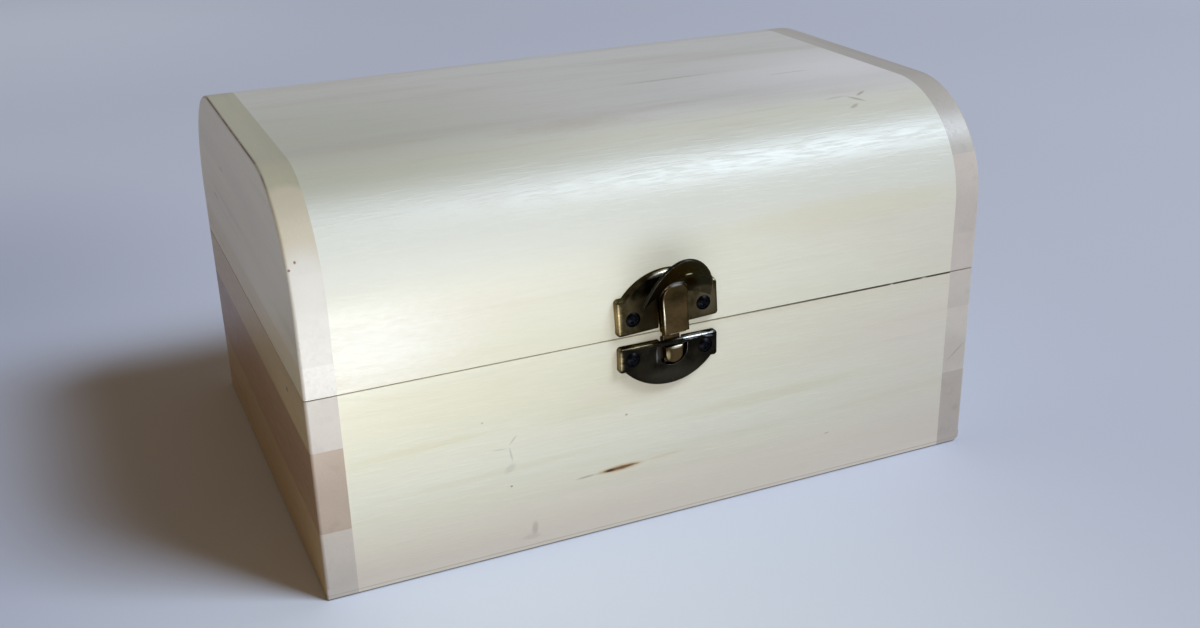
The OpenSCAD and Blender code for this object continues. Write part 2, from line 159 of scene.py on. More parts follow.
woodTones = {
    "cream": (0.825, 0.79, 0.64, 1), "straw": (0.785, 0.735, 0.545, 1), "line": (0.68, 0.59, 0.41, 1),
    "pink": (0.8, 0.7, 0.59, 1), "blush": (0.87, 0.74, 0.605, 1),
}
woodLayers = {  # repeats in a metre across and down the grain, detail, ramp from and to, share, tone
    "bands": (60, 4, 3, 0.36, 0.7, 0.75, "straw"),
    "blotches": (34, 12, 2, 0.48, 0.74, 0.45, "pink"),
    "streaks": (260, 8, 3, 0.54, 0.8, 0.26, "line"),
    "fine": (1000, 30, 2, 0.58, 0.82, 0.07, "line"),
}
woodLook = {
    "drift": (1.7, 2.3, 3.1), "wander": 0.008, "waves": (20, 6, 2), "flecks": (1500, 130, 3),
    "fleckRough": 0.6, "fleckShade": (0.3, 0.7, 0.98, 1.01), "roughness": (0.25, 0.75, 0.28, 0.42),
    "ior": 1.46, "pores": (0.48, 0.72), "poreShare": 0.9, "fineShare": 0.1, "relief": 0.32,
    "poreDepth": 0.09 * mm,
}


def woodMaterial(name, tones, along, seed, marks=None, relief=woodLook["relief"]):
    mat, shader, coords = newMaterial(name)
    offset = tuple(seed * step for step in woodLook["drift"])

    def pattern(place, across, down, detail, rough=0.5, colour=False):
        stretch = tuple(down if i == along else across for i in range(3))
        return noise(place, stretch, offset, detail, rough, colour)

    wave = combine("SUBTRACT", pattern(coords, *woodLook["waves"], colour=True), (0.5, 0.5, 0.5))
    grain = combine("ADD", coords, combine("MULTIPLY", wave, (woodLook["wander"],) * 3))
    flecks = pattern(grain, *woodLook["flecks"], woodLook["fleckRough"])
    colour = tones["cream"]
    for across, down, detail, low, high, share, tone in woodLayers.values():
        drawn = pattern(grain, across, down, detail)
        colour = mixColour(ramp(drawn, low, high, 0, share), colour, tones[tone])
    colour = mixColour(1.0, colour, ramp(flecks, *woodLook["fleckShade"]), "MULTIPLY")
    if marks:
        colour = marks(coords, colour)
    put(colour, shader.inputs["Base Color"])
    put(ramp(flecks, *woodLook["roughness"]), shader.inputs["Roughness"])
    put(woodLook["ior"], shader.inputs["IOR"])
    pores = times(ramp(flecks, *woodLook["pores"]), woodLook["poreShare"])
    height = calc("ADD", pores, times(drawn, woodLook["fineShare"]))  # the layer drawn last is the fine one
    bump(shader, height, relief, woodLook["poreDepth"])
    return mat


# tones for stains and dirt, and for painted sheen, glare and shade
stainAndLightTones = {
    "pitch": (0.15, 0.055, 0.016, 1), "ochre": (0.64, 0.41, 0.15, 1), "soot": (0.03, 0.016, 0.008, 1),
    "dirt": (0.43, 0.37, 0.29, 1), "grey": (0.5, 0.49, 0.45, 1), "rust": (0.2, 0.065, 0.04, 1),
    "straw": (0.7, 0.65, 0.42, 1), "moss": (0.06, 0.048, 0.02, 1), "sheen": (1.0, 0.95, 0.93, 1),
    "glare": (0.96, 0.96, 0.9, 1), "dun": (0.63, 0.55, 0.43, 1), "drab": (0.62, 0.55, 0.42, 1),
    "honey": (0.76, 0.7, 0.49, 1), "bark": (0.69, 0.59, 0.43, 1), "oat": (0.765, 0.715, 0.625, 1),
    "milk": (0.8, 0.75, 0.66, 1), "clay": (0.58, 0.505, 0.425, 1),
}
frontPlane = {"y": -65.5, "through": 20}


def dab(tone, share, at, reach, **more):  # a mark on the front, with at and reach as x and z
    place, size = (at[0], frontPlane["y"], at[1]), (reach[0], frontPlane["through"], reach[1])
    return mark(tone, share, place, size, **more)


frontMarks = [
    dab("ochre", 0.75, (-14.5, 17), (8, 1.25), turn=-2),
    dab("pitch", 0.92, (-14.5, 17), (6.8, 0.65), turn=-2, ragged=0.9),
    dab("soot", 0.9, (-17.2, 16.9), (1.7, 0.5), turn=-6),
    dab("dirt", 0.6, (-23.6, 16.7), (3.4, 0.42), turn=-3),
    dab("ochre", 0.22, (-2, 17.6), (7, 0.6), turn=-2),
    dab("grey", 0.6, (-42.1, 31.4), (1.9, 0.32), turn=-48),
    dab("grey", 0.55, (-42.8, 27.7), (2.7, 0.34), turn=80),
    dab("grey", 0.42, (-43.2, 23.9), (2.3, 1.3), turn=-35),
    dab("grey", 0.4, (-45.6, 29.6), (2.6, 0.28), turn=4),
    dab("dirt", 0.42, (-37.6, 5.9), (1.15, 2.5), turn=6, ragged=0.4),
    dab("dirt", 0.22, (-38.6, 3.6), (3.2, 1.3)),
    dab("pitch", 0.6, (-43.1, 19), (0.45, 0.4)),
    dab("pitch", 0.55, (-12.4, 31.4), (0.5, 0.36)),
    dab("dirt", 0.7, (-49.5, 37.6), (0.36, 0.34)),
    dab("dirt", 0.6, (46, 12.6), (1.1, 0.26), turn=-6),
    dab("straw", 0.36, (-64, 34.6), (24, 1.2), turn=-1, ragged=0.6),
    dab("straw", 0.28, (-46, 23.6), (38, 1.3), turn=-1, ragged=0.6),
    dab("straw", 0.25, (-20, 35), (26, 3.5), turn=-2, ragged=0.6),
    dab("straw", 0.28, (30, 28), (40, 2.4), turn=-1, ragged=0.6),
    # painted shade: the dark hollow behind the keeper's window
    dab("soot", 1, (-0.6, 46.2), (4.8, 3.6), core=0.92),
]
frontTint = {**inMm(pinkFrom=24, pinkTo=3, rightFrom=35, rightTo=82), "pinkShare": 0.75, "rightShare": 0.35}
sawCut = {
    **inMm(up=52.05, reach=0.36, core=0.1, inside=-64.7, face=-65.3, left=-10, right=60),
    "leftShare": 0.08, "rightShare": 0.96,
    "torn": {"grain": (260, 40, 40), "offset": (3, 1, 2), "detail": 3, "from": 0.16, "to": 0.4},
}


def sawCutShade(coords, colour):  # painted shade in the saw cut between lid and base, dark brown and mostly towards the right
    x, y, z = split(coords)
    near = ramp(apart(z, sawCut["up"]), sawCut["reach"], sawCut["core"])
    aside = ramp(x, sawCut["left"], sawCut["right"], sawCut["leftShare"], sawCut["rightShare"])
    front = ramp(y, sawCut["inside"], sawCut["face"])
    share = times(near, broken(coords, sawCut["torn"]), aside, front)
    return mixColour(share, colour, stainAndLightTones["moss"])


def markFront(coords, colour):
    x, _, z = split(coords)
    low = ramp(z, frontTint["pinkFrom"], frontTint["pinkTo"], 0, frontTint["pinkShare"])
    colour = mixColour(low, colour, woodTones["blush"])
    right = ramp(x, frontTint["rightFrom"], frontTint["rightTo"], 0, frontTint["rightShare"])
    colour = mixColour(right, colour, woodTones["pink"])
    return sawCutShade(coords, paintStainsAndLight(coords, colour, frontMarks, stainAndLightTones))


lidMarks = [
    # painted light: a sheen on the top and a whiter glare on the front at left
    mark("sheen", 0.85, (78, -22, 99.5), (62, 36, 9), core=0),
    mark("glare", 0.48, (-74, -65.5, 61.5), (34, 20, 15), core=0, ragged=0.9),
    mark("dirt", 0.65, (64.8, -45.6, 98), (2.6, 0.55, 4), swing=28, ragged=0.8),
    mark("dirt", 0.6, (62.4, -47.6, 97.3), (2.8, 0.6, 4), swing=-32, ragged=0.8),
    mark("dirt", 0.55, (60.2, -50, 96.4), (2.2, 0.6, 4), swing=20, ragged=0.8),
    mark("dirt", 0.25, (57, -46, 97.9), (4.5, 0.6, 4), swing=4, ragged=0.8),
    mark("dirt", 0.4, (25, -11.6, 99.5), (19, 0.8, 4), ragged=0.8),
    mark("dirt", 0.28, (58, -21, 99.5), (9, 0.7, 4), ragged=0.8),
    # painted shade on the top near the front
    mark("dun", 0.55, (-15, -41, 99.2), (26, 6, 5), core=0, ragged=0.9),
    mark("drab", 0.38, (-62, -38, 99.4), (22, 3, 5), ragged=0.9),
    # painted shade: the dark hollow behind the plate's slot
    mark("soot", 0.95, (-0.9, -65.5, 57.4), (4.4, 3, 4.6), core=0.9),
    mark("honey", 0.45, (52, -65.3, 74.5), (48, 9, 5), ragged=0.6),
]
lidTintsAndShade = [  # from the front up to the top: greyer over the curve, and darker at the top as painted shade
    {"tone": (0.78, 0.775, 0.7, 1), "from": 66 * mm, "to": 82 * mm, "share": 0.7},
    {"tone": (0.795, 0.755, 0.61, 1), "from": 92 * mm, "to": 96.8 * mm, "share": 0.8},
    {"tone": (0.78, 0.74, 0.69, 1), "from": 96.8 * mm, "to": 99.3 * mm, "share": 0.85},
]
lidLeft = {
    **inMm(right=15, left=-80, low=91, high=96.5, back=40, front=-25),
    "tone": (0.59, 0.57, 0.44, 1), "share": 0.85, "backShare": 0.3,
}
lidStreaks = {"tone": (0.58, 0.52, 0.42, 1), "low": 86 * mm, "high": 97.5 * mm, "patterns": [
    {"grain": (11, 100, 20), "offset": (4, 2, 6), "detail": 4, "from": 0.45, "to": 0.7, "share": 0.36},
    {"grain": (45, 900, 60), "offset": (2, 7, 1), "detail": 3, "from": 0.52, "to": 0.72, "share": 0.22},
]}


def markLid(coords, colour):
    x, y, z = split(coords)
    for tint in lidTintsAndShade:
        share = ramp(z, tint["from"], tint["to"], 0, tint["share"])
        colour = mixColour(share, colour, tint["tone"])
    left = times(ramp(x, lidLeft["right"], lidLeft["left"], 0, lidLeft["share"]),
                 ramp(z, lidLeft["low"], lidLeft["high"]),
                 ramp(y, lidLeft["back"], lidLeft["front"], lidLeft["backShare"], 1.0))
    colour = mixColour(left, colour, lidLeft["tone"])
    upper = ramp(z, lidStreaks["low"], lidStreaks["high"])
    for look in lidStreaks["patterns"]:
        colour = mixColour(times(broken(coords, look), upper), colour, lidStreaks["tone"])
    return sawCutShade(coords, paintStainsAndLight(coords, colour, lidMarks, stainAndLightTones))


paleWood = woodMaterial("paleWood", woodTones, 0, 1.0)
frontWood = woodMaterial("frontWood", woodTones, 0, 2.0, markFront)
lidWood = woodMaterial("lidWood", woodTones, 0, 3.0, markLid)
print("wood: board finishes mixed")


# mesh helpers

pieceLook = {"merge": 1e-7, "sharp": 38, "flatWeight": 100, "easeSteps": 2, "easeAngle": 35}


def evenNormals(piece):  # keeps broad faces flat beside their rounded edges
    made = piece.modifiers.new("evenNormals", "WEIGHTED_NORMAL")
    made.keep_sharp = True
    made.weight = pieceLook["flatWeight"]


def finishPiece(name, bm, mat, body, slotName, *nodes):
    bmesh.ops.remove_doubles(bm, verts=bm.verts, dist=pieceLook["merge"])
    faceOut(bm)
    mesh = bpy.data.meshes.new(name)
    bm.to_mesh(mesh)
    bm.free()
    mesh.materials.append(mat)
    mesh.shade_smooth()
    mesh.set_sharp_from_angle(angle=math.radians(pieceLook["sharp"]))
    piece = bpy.data.objects.new(name, mesh)
    scene.collection.objects.link(piece)
    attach(piece, body)
    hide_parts(*nodes)
    evenNormals(piece)


def roundEdges(bm, edges, width, segments, corners=False, clamp=True):
    bmesh.ops.bevel(bm, geom=edges, offset=width, offset_type="OFFSET", segments=segments, profile=0.5,
                    affect="VERTICES" if corners else "EDGES", material=-1, clamp_overlap=clamp)


def slicePlane(bm, place, facing, clear=False):
    bmesh.ops.bisect_plane(bm, geom=bm.verts[:] + bm.edges[:] + bm.faces[:], plane_co=place, plane_no=facing,
                           clear_outer=clear)


def boxMesh(low, high):
    bm = bmesh.new()
    size = Vector(high) - Vector(low)
    place = Matrix.Translation((Vector(low) + Vector(high)) / 2) @ Matrix.Diagonal((*size, 1))
    bmesh.ops.create_cube(bm, size=1, matrix=place)
    return bm


def moveNew(bm, made, way):  # moves what an extrusion has made
    bmesh.ops.translate(bm, verts=[g for g in made["geom"] if isinstance(g, bmesh.types.BMVert)], vec=way)


def moveBy(bm, matrix):  # moves and turns the whole mesh
    bmesh.ops.transform(bm, matrix=matrix, verts=bm.verts)


def faceOut(bm):
    bmesh.ops.recalc_face_normals(bm, faces=bm.faces)


def thicken(bm, facing, thickness):  # gives a sheet its thickness, behind the side that it faces
    faceOut(bm)
    foremost = max(bm.faces, key=lambda f: f.calc_center_median().dot(facing))
    if foremost.normal.dot(facing) < 0:
        bmesh.ops.reverse_faces(bm, faces=bm.faces)
    bmesh.ops.solidify(bm, geom=bm.faces[:], thickness=thickness)


def pull(bm, faces, way):  # extrudes faces into a solid, keeping the first side
    moveNew(bm, bmesh.ops.extrude_face_region(bm, geom=faces, use_keep_orig=True), way)
    faceOut(bm)


def combineMesh(bm, other, operation="DIFFERENCE"):  # cuts one closed mesh out of another, or joins them
    pair = []
    for part in (bm, other):
        faceOut(part)
        mesh = bpy.data.meshes.new("scrap")
        part.to_mesh(mesh)
        part.free()
        holder = bpy.data.objects.new("scrap", mesh)
        scene.collection.objects.link(holder)
        pair.append(holder)
    tool = pair[0].modifiers.new("tool", "BOOLEAN")
    tool.operation = operation
    tool.solver = "EXACT"
    tool.object = pair[1]
    result = bmesh.new()
    result.from_object(pair[0], bpy.context.evaluated_depsgraph_get())
    for holder in pair:
        mesh = holder.data
        bpy.data.objects.remove(holder)
        bpy.data.meshes.remove(mesh)
    return result


def onPlane(edge, axis, value):
    return all(abs(v.co[axis] - value) < same for v in edge.verts)


def runsAlong(edge, axis):
    step = edge.verts[0].co - edge.verts[1].co
    return all(abs(step[i]) < same for i in range(3) if i != axis)


# box sizes, read off the frame

skinLow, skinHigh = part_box("lid_skin")
bottomLow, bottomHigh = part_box("base_bottom")
boxSizes = {
    **inMm(frontRound=28.5, backRound=37, board=4.5, arris=0.8, sliver=0.02),
    "frontY": bottomLow.y, "backY": bottomHigh.y, "lidZ": skinLow.z, "topZ": skinHigh.z, "roundSteps": 28,
    "arrisSteps": 3,
}
lidRow = [(boxSizes[y], boxSizes[z]) for y, z in
          (("frontY", "lidZ"), ("frontY", "topZ"), ("backY", "topZ"), ("backY", "lidZ"))]
lidRounds = [(boxSizes[side + "Y"], boxSizes[side + "Round"]) for side in ("front", "back")]

pivot = next(j for j in frame["joints"] if j["name"] == "lever_pivot")
claspPlace = {**inMm(pivotUp=7, pivotOut=1.1), "tilt": math.atan2(pivot["axis"][2], pivot["axis"][0])}
claspTurn = Matrix.Rotation(-claspPlace["tilt"], 4, "Y")
claspFoot = Vector(pivot["pos_m"]) - claspTurn @ Vector((0, -claspPlace["pivotOut"], claspPlace["pivotUp"]))
onLid = Matrix.Translation(claspFoot) @ claspTurn
onBase = Matrix.Translation((claspFoot.x, boxSizes["frontY"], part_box("clasp_keeper")[1].z))

pocket = inMm(width=5.3, out=2, depth=2.22, low=-10, high=1.5)


def cutPocket(bm):  # room for the catch behind the clasp
    half = pocket["width"] / 2
    cutter = boxMesh((-half, -pocket["out"], pocket["low"]), (half, pocket["depth"], pocket["high"]))
    moveBy(cutter, onLid)
    return combineMesh(bm, cutter)


# end staves

staveTints = {
    "base_left_stave_1": (0.69, 0.6, 0.51), "base_left_stave_2": (0.53, 0.41, 0.315),
    "base_left_stave_3": (0.61, 0.55, 0.475), "base_right_stave_1": (0.6, 0.515, 0.435),
    "base_right_stave_2": (0.7, 0.625, 0.535), "base_right_stave_3": (0.695, 0.62, 0.53),
    "lid_left_stave_1": (0.76, 0.715, 0.64), "lid_left_stave_2": (0.78, 0.735, 0.65),
    "lid_left_stave_3": (0.54, 0.495, 0.35), "lid_right_stave_1": (0.67, 0.585, 0.505),
    "lid_right_stave_2": (0.67, 0.585, 0.505), "lid_right_stave_3": (0.6, 0.545, 0.475),
}
# painted light and shade on the left end faces: lighter on the lid, darker brown on the base
endFaceLightShade = {
    "base_left_stave_1": (0.58, 0.385, 0.18), "base_left_stave_2": (0.43, 0.245, 0.115),
    "base_left_stave_3": (0.65, 0.48, 0.235), "lid_left_stave_1": (0.88, 0.75, 0.48),
    "lid_left_stave_2": (0.96, 0.88, 0.65), "lid_left_stave_3": (0.95, 0.88, 0.66),
}
staveShares = {"cream": 1.02, "straw": 0.89, "line": 0.56, "pink": 0.84}
staveLook = {"relief": 0.12, "firstSeed": 4.0}
staveMarks = {
    "lid_left_stave_3": [
        mark("bark", 0.85, (-86, -61, 88.5), (9, 19.5, 12), core=0.82),
        mark("oat", 1, (-86, -66, 80), (9, 15, 10)),
        mark("rust", 0.85, (-89.3, -63.2, 82.2), (0.42, 2, 0.36)),
        mark("rust", 0.85, (-87.8, -62.6, 83.6), (0.4, 2, 0.44)),
    ],
    "lid_left_stave_2": [mark("milk", 0.85, (-86, -65.5, 81), (9, 15, 14), core=0)],
    "base_right_stave_2": [
        mark("clay", 1, (86, 0, 20.4), (200, 600, 2.1), core=0.92),
        mark("dirt", 0.55, (86.6, -65.5, 28.4), (5, 20, 0.42), turn=-40, ragged=0.4),
    ],
}
endMarks = {
    "lid_left_stave_3": [mark("dirt", 0.5, (-90, 20, 82.4), (2, 4.5, 0.5), ragged=0.8)],
    "lid_left_stave_2": [mark("dirt", 0.5, (-90, 38.4, 70), (2, 5, 0.6), ragged=0.8)],
    "base_left_stave_3": [mark("soot", 0.95, (-90, -44.7, 46.3), (4, 1.1, 0.85), ragged=0.5)],
}
glueLine = {
    **inMm(inside=28, rim=28.25, face=-89.45, edge=-89.7, front=-52, back=-42),
    "share": 0.85,
    "torn": {"grain": (20, 90, 20), "offset": (5, 1, 2), "detail": 3, "from": 0.36, "to": 0.54},
}


def openJoint(coords, colour):  # thin dark gap along the top arris of the left end
    x, y, z = split(coords)
    back = calc("MINIMUM", calc("ADD", y, -boxSizes["frontY"] - boxSizes["frontRound"]), 0.0)
    up = calc("SUBTRACT", z, boxSizes["topZ"] - boxSizes["frontRound"])
    reach = calc("SQRT", calc("ADD", times(back, back), times(up, up)))
    share = times(ramp(reach, glueLine["inside"], glueLine["rim"]),
                  ramp(x, glueLine["face"], glueLine["edge"], 0, glueLine["share"]),
                  broken(coords, glueLine["torn"]),
                  ramp(y, glueLine["front"], glueLine["back"]))
    return mixColour(share, colour, stainAndLightTones["pitch"])


def lidEndFace(bm, x):
    s = boxSizes
    bm.faces.new([bm.verts.new((x, y, z)) for y, z in reversed(lidRow)])
    for y, radius in lidRounds:
        corner = [v for v in bm.verts if abs(v.co.y - y) < same and abs(v.co.z - s["topZ"]) < same]
        roundEdges(bm, corner, radius, s["roundSteps"], True)


def staveWood(node, seed):
    tint = staveTints[node]
    tones = {tone: (*(c * share for c in tint), 1) for tone, share in staveShares.items()}

    def marks(coords, colour):
        plain = colour
        colour = paintStainsAndLight(coords, colour, staveMarks.get(node, []), stainAndLightTones)
        if node in endFaceLightShade:  # the end face is painted lighter on the lid and browner on the base, as light and shade, apart from the strip at the front
            outer = ramp(split(coords)[0], glueLine["edge"], -bottomHigh.x)
            shade = tuple(b / a for a, b in zip(tint, endFaceLightShade[node]))
            colour = mixColour(outer, colour, mixColour(1.0, plain, (*shade, 1), "MULTIPLY"))
        colour = paintStainsAndLight(coords, colour, endMarks.get(node, []), stainAndLightTones)
        return openJoint(coords, colour) if node == "lid_left_stave_3" else colour

    return woodMaterial(node + "Wood", tones, 1, seed, marks, staveLook["relief"])


def makeStave(node, seed):
    s = boxSizes
    low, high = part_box(node)
    outer, inner = (high.x, low.x) if low.x > 0 else (low.x, high.x)
    if node.startswith("lid"):
        bm = bmesh.new()
        lidEndFace(bm, inner)
        for z, way in ((low.z, -1), (high.z, 1)):
            if s["lidZ"] + s["sliver"] < z < s["topZ"] - s["sliver"]:
                slicePlane(bm, (0, 0, z), (0, 0, way), True)
        bmesh.ops.remove_doubles(bm, verts=bm.verts, dist=s["sliver"])
        pull(bm, bm.faces[:], (outer - inner, 0, 0))
    else:
        bm = boxMesh(low, high)
    glued = [z for z in (low.z, high.z) if z < s["topZ"] - s["sliver"]]
    rim = [e for e in bm.edges if onPlane(e, 0, outer) and not any(onPlane(e, 2, z) for z in glued)]
    roundEdges(bm, rim, s["arris"], s["arrisSteps"])
    words = node.split("_")
    name = words[0] + "".join(word.title() for word in words[1:])
    finishPiece(name, bm, staveWood(node, seed), words[0], "end_wood", node)


for count, staveNode in enumerate(staveTints):
    makeStave(staveNode, staveLook["firstSeed"] + count)
print("wood: %d end staves cut" % len(staveTints))


# base boards

footLook = {
    **inMm(endFrom=82.45, endTo=82.55, line=1.25, lineReach=0.3, scuffTop=0.55, scuffFoot=0.15,
           scuffIn=0.8, edge=0.45, wornEdge=2.2),
    "lineShare": 0.4, "shadeShare": 0.85, "edgeSteps": 3, "wornSteps": 6, "corner": 0.5,
}


def markFoot(coords, colour):  # the board's edge follows the colours above it
    look = footLook
    x, y, z = split(coords)
    colour = mixColour(frontTint["pinkShare"], colour, woodTones["blush"])
    for way, node in ((-1, "base_left_stave_1"), (1, "base_right_stave_1")):
        side = ramp(times(x, way), look["endFrom"], look["endTo"])
        colour = mixColour(side, colour, (*staveTints[node], 1))
    # the left edge takes the painted shade of the end face above it
    outer = ramp(x, glueLine["edge"], bottomLow.x)
    colour = mixColour(outer, colour, (*endFaceLightShade["base_left_stave_1"], 1))
    line = ramp(apart(z, look["line"]), look["lineReach"], 0.0, 0, look["lineShare"])
    colour = mixColour(line, colour, stainAndLightTones["dirt"])
    # painted shadow: darker along the lowest half millimetre of the outer sides, where the box meets the
    # floor
    aside = calc("SUBTRACT", calc("ABSOLUTE", x), bottomHigh.x)
    outward = calc("MAXIMUM", aside, calc("SUBTRACT", calc("ABSOLUTE", y), bottomHigh.y))
    footShade = times(ramp(outward, -look["scuffIn"], 0.0),
                  ramp(z, look["scuffTop"], look["scuffFoot"], 0, look["shadeShare"]))
    return mixColour(footShade, colour, stainAndLightTones["soot"])


footWood = woodMaterial("footWood", woodTones, 0, 2.0, markFoot)


def makeBottom():
    low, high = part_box("base_bottom")
    bm = boxMesh(low, high)
    worn = [e for e in bm.edges if onPlane(e, 2, low.z) and onPlane(e, 0, high.x)]
    roundEdges(bm, worn, footLook["wornEdge"], footLook["wornSteps"])
    lower = [e for e in bm.edges if e.calc_face_angle(0) > footLook["corner"] and not onPlane(e, 2, high.z)]
    roundEdges(bm, lower, footLook["edge"], footLook["edgeSteps"])
    finishPiece("bottomBoard", bm, footWood, "base", "pale_wood", "base_bottom")


def makeBoard(name, node, mat, cut=False):
    bm = boxMesh(*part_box(node))
    finishPiece(name, cutPocket(bm) if cut else bm, mat, "base", "pale_wood", node)


makeBottom()
makeBoard("frontBoard", "base_front", frontWood, True)
makeBoard("backBoard", "base_back", paleWood)
print("wood: base boards cut")


# bent lid board

def makeLidSkin():
    s = boxSizes
    bm = bmesh.new()
    verts = [bm.verts.new((skinLow.x, y, z)) for y, z in lidRow]
    edges = [bm.edges.new(pair) for pair in zip(verts, verts[1:])]
    moveNew(bm, bmesh.ops.extrude_edge_only(bm, edges=edges), (skinHigh.x - skinLow.x, 0, 0))
    for y, radius in lidRounds:
        ridge = [e for e in bm.edges if onPlane(e, 1, y) and onPlane(e, 2, s["topZ"])]
        roundEdges(bm, ridge, radius, s["roundSteps"])
    thicken(bm, Vector((0, 0, 1)), s["board"])
    finishPiece("lidBoard", cutPocket(bm), lidWood, "lid", "pale_wood", "lid_skin")


makeLidSkin()
print("wood: lid board bent")


# metal finishes

metalLook = {
    "metallic": 1.0, "bevelSamples": 6, "cloudDetail": 4, "speckDetail": 2, "speckOffset": (1, 2, 3),
    "grit": 0.6, "cloudRange": (0.36, 0.66), "rubRange": (0.99, 0.8), "speckRub": (0.3, 0.62, 0.3, 1.0),
    "roughFrom": 0.3, "roughTo": 0.7, "smoother": 0.06, "rougher": 0.1, "bump": 0.25,
    "bumpDepth": 0.01 * mm,
}


def metalMaterial(name, look, marks=()):
    mat, shader, coords = newMaterial(name)
    nodes = mat.node_tree.nodes
    edge = nodes.new("ShaderNodeBevel")
    edge.samples = metalLook["bevelSamples"]
    put(look["rubReach"], edge.inputs["Radius"])
    flat = nodes.new("ShaderNodeNewGeometry")
    cloud = noise(coords, (look["clouds"],) * 3, (0, 0, 0), metalLook["cloudDetail"], metalLook["grit"])
    speck = noise(coords, (look["specks"],) * 3, metalLook["speckOffset"], metalLook["speckDetail"],
                  metalLook["grit"])
    colour = mixColour(ramp(cloud, *metalLook["cloudRange"]), look["dark"], look["mid"])
    if "patina" in look:
        patina = nodes.new("ShaderNodeAttribute")
        patina.attribute_name = "patina"
        colour = mixColour(patina.outputs["Fac"], colour, look["patina"])
    # marks of wear and of painted light and shade
    colour = paintStainsAndLight(coords, colour, marks, wearAndLightTones)
    turned = combine("DOT_PRODUCT", edge.outputs[0], flat.outputs["Normal"])
    rub = times(ramp(turned, *metalLook["rubRange"], 0, look["rub"]),
                ramp(speck, *metalLook["speckRub"]))
    put(mixColour(rub, colour, look["bright"]), shader.inputs["Base Color"])
    put(metalLook["metallic"], shader.inputs["Metallic"])
    put(look["glance"], shader.inputs["Specular Tint"])
    rough = ramp(cloud, metalLook["roughFrom"], metalLook["roughTo"],
                 look["roughness"] - metalLook["smoother"], look["roughness"] + metalLook["rougher"])
    put(rough, shader.inputs["Roughness"])
    eased = bump(shader, speck, metalLook["bump"], metalLook["bumpDepth"])
    put(edge.outputs[0], eased.inputs["Normal"])  # edges look eased
    return mat


plated = {"clouds": 200, "specks": 1500, "rubReach": 0.25 * mm, "glance": (0.55, 0.45, 0.3, 1)}
smallMetal = {"clouds": 500, "specks": 2400}
bronzeLook = {
    "dark": (0.022, 0.016, 0.007, 1), "mid": (0.07, 0.055, 0.027, 1), "bright": (0.42, 0.34, 0.21, 1),
    **plated, "rub": 0.55, "roughness": 0.34,
}
brassLook = {
    "dark": (0.048, 0.031, 0.012, 1), "mid": (0.088, 0.058, 0.025, 1), "bright": (0.62, 0.52, 0.34, 1),
    **plated, "rub": 0.6, "roughness": 0.3, "patina": (0.023, 0.023, 0.017, 1),
}
slateLook = {
    "dark": (0.008, 0.007, 0.005, 1), "mid": (0.023, 0.019, 0.012, 1), "bright": (0.34, 0.33, 0.3, 1),
    **plated, "rub": 0.55, "roughness": 0.33, "glance": (0.5, 0.46, 0.38, 1),
}
screwLook = {
    "dark": (0.005, 0.005, 0.006, 1), "mid": (0.01, 0.01, 0.012, 1), "bright": (0.06, 0.06, 0.07, 1),
    **smallMetal, "rub": 0.5, "rubReach": 0.15 * mm, "roughness": 0.36, "glance": (0.45, 0.45, 0.48, 1),
}
wireLook = {
    "dark": (0.28, 0.28, 0.29, 1), "mid": (0.46, 0.46, 0.47, 1), "bright": (0.7, 0.7, 0.7, 1),
    **smallMetal, "rub": 0.3, "rubReach": 0.1 * mm, "roughness": 0.28, "glance": (1, 1, 1, 1),
}
# tones for wear, and for painted highlights, reflections and shade
wearAndLightTones = {
    "gold": (0.46, 0.36, 0.19, 1), "cream": (0.85, 0.78, 0.6, 1), "silver": (0.6, 0.6, 0.57, 1),
    "smoke": (0.011, 0.008, 0.004, 1), "olive": (0.098, 0.083, 0.046, 1), "umber": (0.024, 0.016, 0.006, 1),
    "ash": (0.062, 0.054, 0.037, 1), "tan": (0.074, 0.06, 0.036, 1),
}
plateWearAndLight = [
    # painted shadow of the bill on the plate, and a lighter olive patch right of the tongue
    mark("smoke", 0.95, (-5.5, -67.3, 60.6), (7.5, 2.5, 7), core=0.32),
    mark("olive", 0.8, (9, -67.3, 58.6), (4.5, 2.5, 5)),
    # a rubbed left rim with a painted reflection, and painted highlights on the round top and on the right
    # ear
    mark("gold", 0.8, (-14.6, -66.3, 57.6), (1.5, 1.7, 6), turn=-3, ragged=0.6),
    mark("cream", 0.8, (-3.5, -66.9, 67.7), (3.4, 1, 0.8), turn=-12, ragged=0.9),
    mark("cream", 0.9, (11.6, -66.8, 63.7), (1.2, 1.2, 0.8), turn=-3, ragged=0.5),
]
leverWearAndLight = [
    # darker over the top of the tongue, and lighter on the lower right of the bill
    mark("umber", 0.36, (-1.15, -70.7, 64.1), (4.6, 1.7, 3.1), turn=-3, core=0.85),
    mark("tan", 0.9, (7, -71, 63), (4.8, 4.2, 2.7), turn=-14, core=0.6),
    # painted shade right of the arch
    mark("smoke", 0.92, (2.3, -71.5, 65.8), (1.9, 2.6, 2.7), turn=-38, core=0.5),
    # painted light on the tongue's left side wall, and painted highlights on its left edge and on the arch's
    # rim
    mark("gold", 0.7, (-4.4, -68.4, 56.5), (0.5, 1.7, 4.6), turn=-3, core=0.6),
    mark("cream", 0.85, (-4.05, -70.1, 57.6), (0.34, 0.6, 5.4), turn=-3, ragged=0.3),
    mark("silver", 0.5, (-1.25, -71.3, 65.9), (2.6, 1, 0.8), turn=-3, ragged=0.6),
    # painted highlights on the catch's top step and left edge, and on the bill
    mark("cream", 0.75, (0.5, -67.8, 48.15), (2.2, 0.9, 0.5), turn=-3, ragged=0.5),
    mark("gold", 0.8, (-1.9, -67.8, 46.2), (0.7, 0.9, 1.9), turn=-3, ragged=0.5),
    mark("cream", 0.9, (0.95, -73.2, 68.8), (1.1, 1, 0.36), turn=-8),
]
